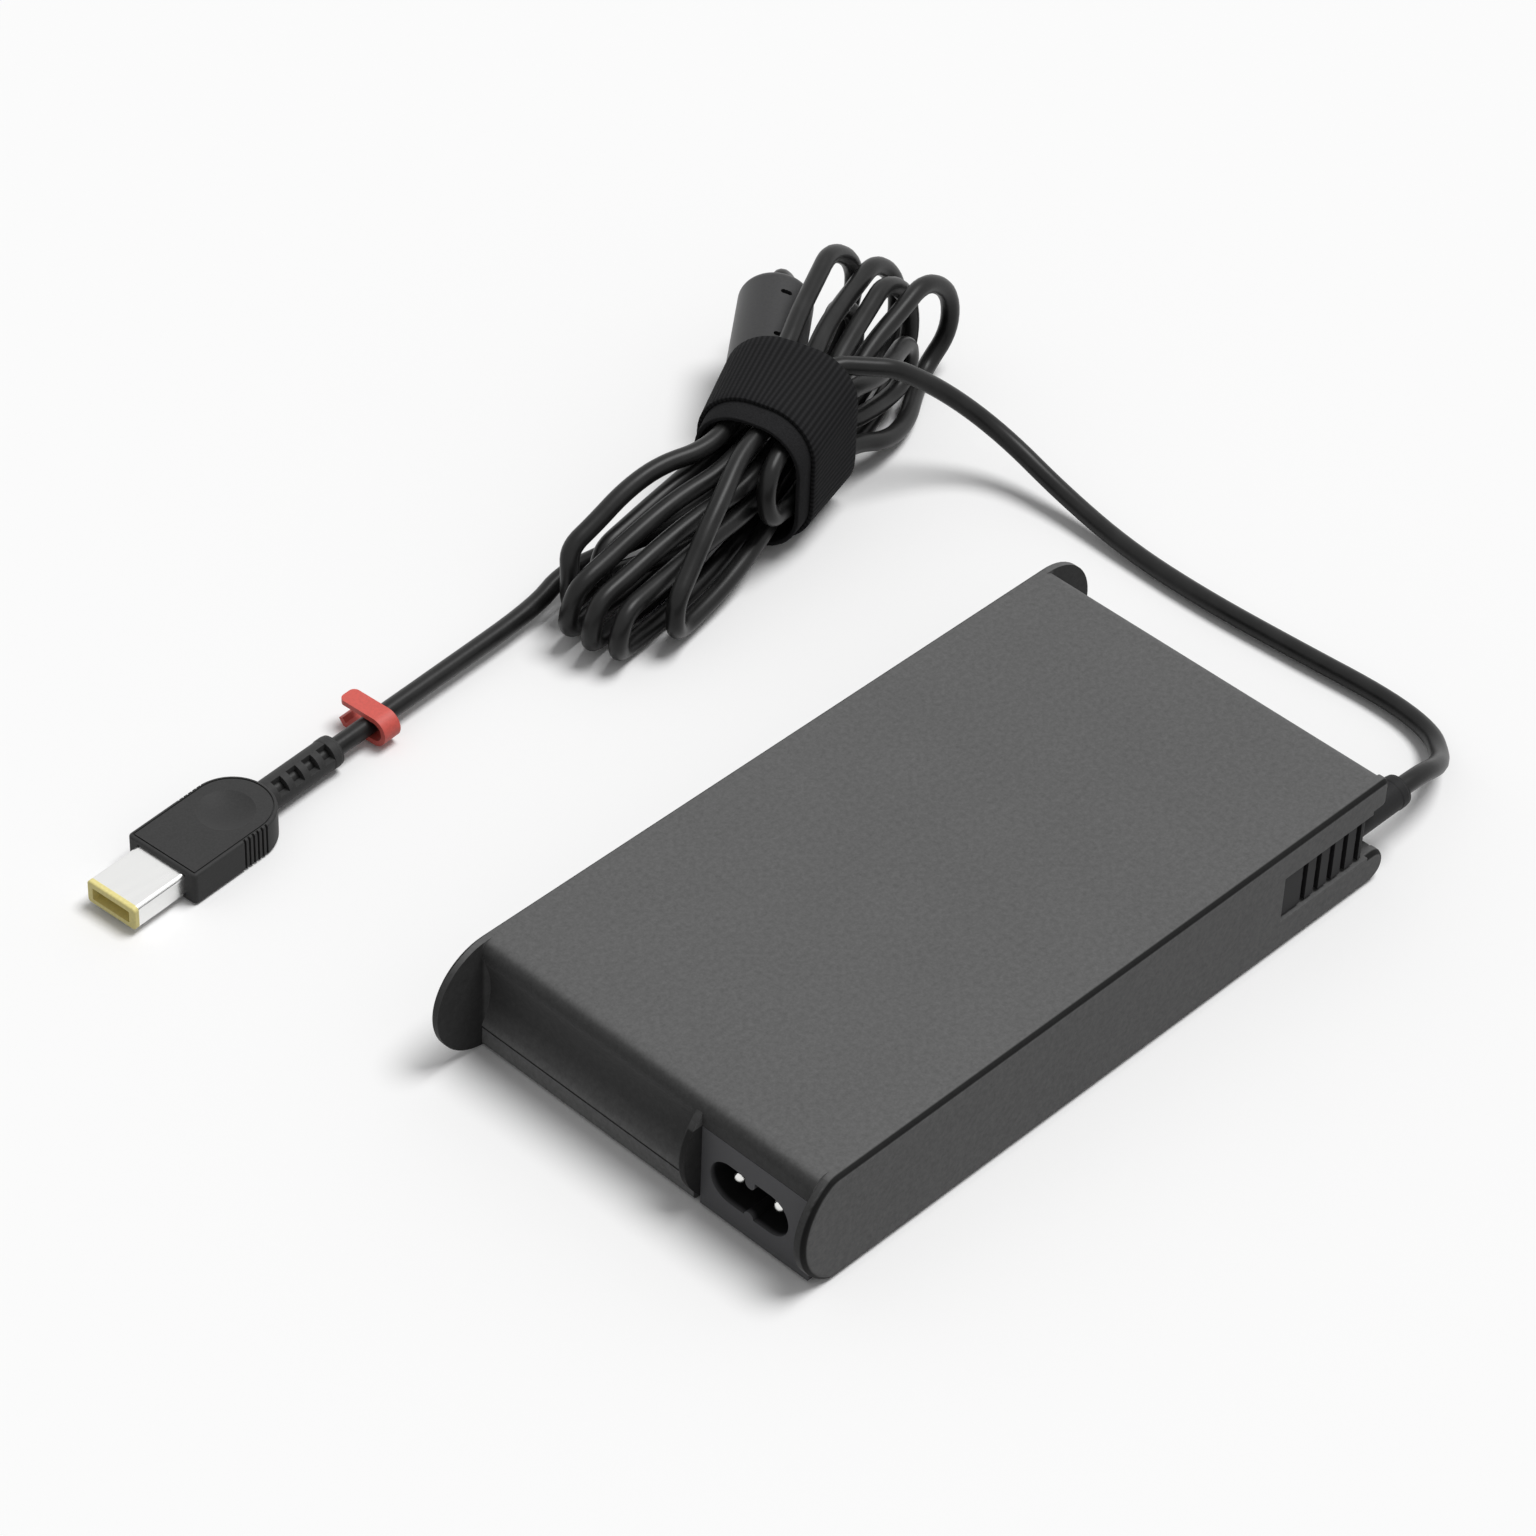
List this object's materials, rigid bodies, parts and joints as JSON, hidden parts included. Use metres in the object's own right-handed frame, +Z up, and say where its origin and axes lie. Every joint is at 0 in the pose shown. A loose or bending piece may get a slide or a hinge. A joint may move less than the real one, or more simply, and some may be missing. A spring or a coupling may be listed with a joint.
{
  "type": "laptop_power_adapter",
  "caption": "Flat laptop power brick with a figure-8 mains inlet and hollowed ends, its output cord strapped in a hank with a ferrite bead, a red cable clip and a rectangular plug",
  "frame": {"origin": "middle of the brick's underside, its cord left out", "axes": "+X along the brick from the mains inlet to the cord's outlet, +Y across it from the wall with the cord's outlet to the wall with the full-round plates, +Z up out of the top cover"},
  "size_m": [0.2109, 0.1719, 0.0312],
  "materials": {
    "housing": "fine grained, dark grey",
    "inlet": "smooth, near black",
    "pin": "bright plated",
    "outlet": "smooth",
    "board": "green board",
    "component_dark": "moulded",
    "ferrite": "sintered, dull",
    "copper_wire": "enamelled copper wire",
    "capacitor_yellow": "moulded box",
    "capacitor_blue": "dipped",
    "can_sleeve": "shrink sleeve",
    "can_metal": "plain can",
    "winding_tape": "polyester tape",
    "sheet_metal": "plain sheet",
    "thermal_pad": "soft pad",
    "insulation_film": "thin film",
    "lead_wire": "insulated wire",
    "cord": "smooth jacket with a soft sheen",
    "bead_sleeve": "moulded over",
    "strap": "ribbed hook-and-loop tape",
    "clip": "red moulding",
    "plug_metal": "plated sleeve",
    "plug_insert": "pale yellow moulding",
    "contact": "plated contact",
    "plug_moulding": "fine grained, dark grey"
  },
  "bodies": {
    "adapter": {"top_cover": "housing", "bottom_cover": "housing", "inlet_block": "inlet", "inlet_pins": "pin", "strain_relief": "outlet", "circuit_board": "board", "fuse": "component_dark", "choke_core": "ferrite", "choke_windings": "copper_wire", "x_capacitor": "capacitor_yellow", "y_capacitors": "capacitor_blue", "bridge_rectifier": "component_dark", "bulk_capacitors": "can_sleeve", "pfc_core": "ferrite", "pfc_winding": "winding_tape", "transformer_core": "ferrite", "transformer_winding": "winding_tape", "power_transistors": "component_dark", "transistor_brackets": "sheet_metal", "thermal_pads": "thermal_pad", "controller_chip": "component_dark", "optocoupler": "component_dark", "output_capacitors": "can_metal", "output_rectifiers": "component_dark", "bottom_insulation": "insulation_film", "bottom_heat_spreader": "sheet_metal", "top_heat_spreader": "sheet_metal", "top_insulation": "insulation_film", "output_leads": "lead_wire", "cord_lead": "cord", "cord_hank": "cord", "cord_tail": "cord", "cord_in_bead": "cord", "plug_cord_end": "cord", "ferrite_core": "ferrite", "ferrite_sleeve": "bead_sleeve", "strap_inner_wrap": "strap", "strap_outer_wrap": "strap", "plug_shell": "plug_metal", "plug_insulator": "plug_insert", "plug_contact": "contact", "plug_body": "plug_moulding", "plug_boot": "plug_moulding"},
    "clip": {"cable_clip": "clip"}
  },
  "joints": [
    {"name": "clip_slide", "type": "slide", "parent": "adapter", "child": "clip", "axis": [0.9977, 0.068, 0], "range_m": [-0.006, 0.026]}
  ]
}
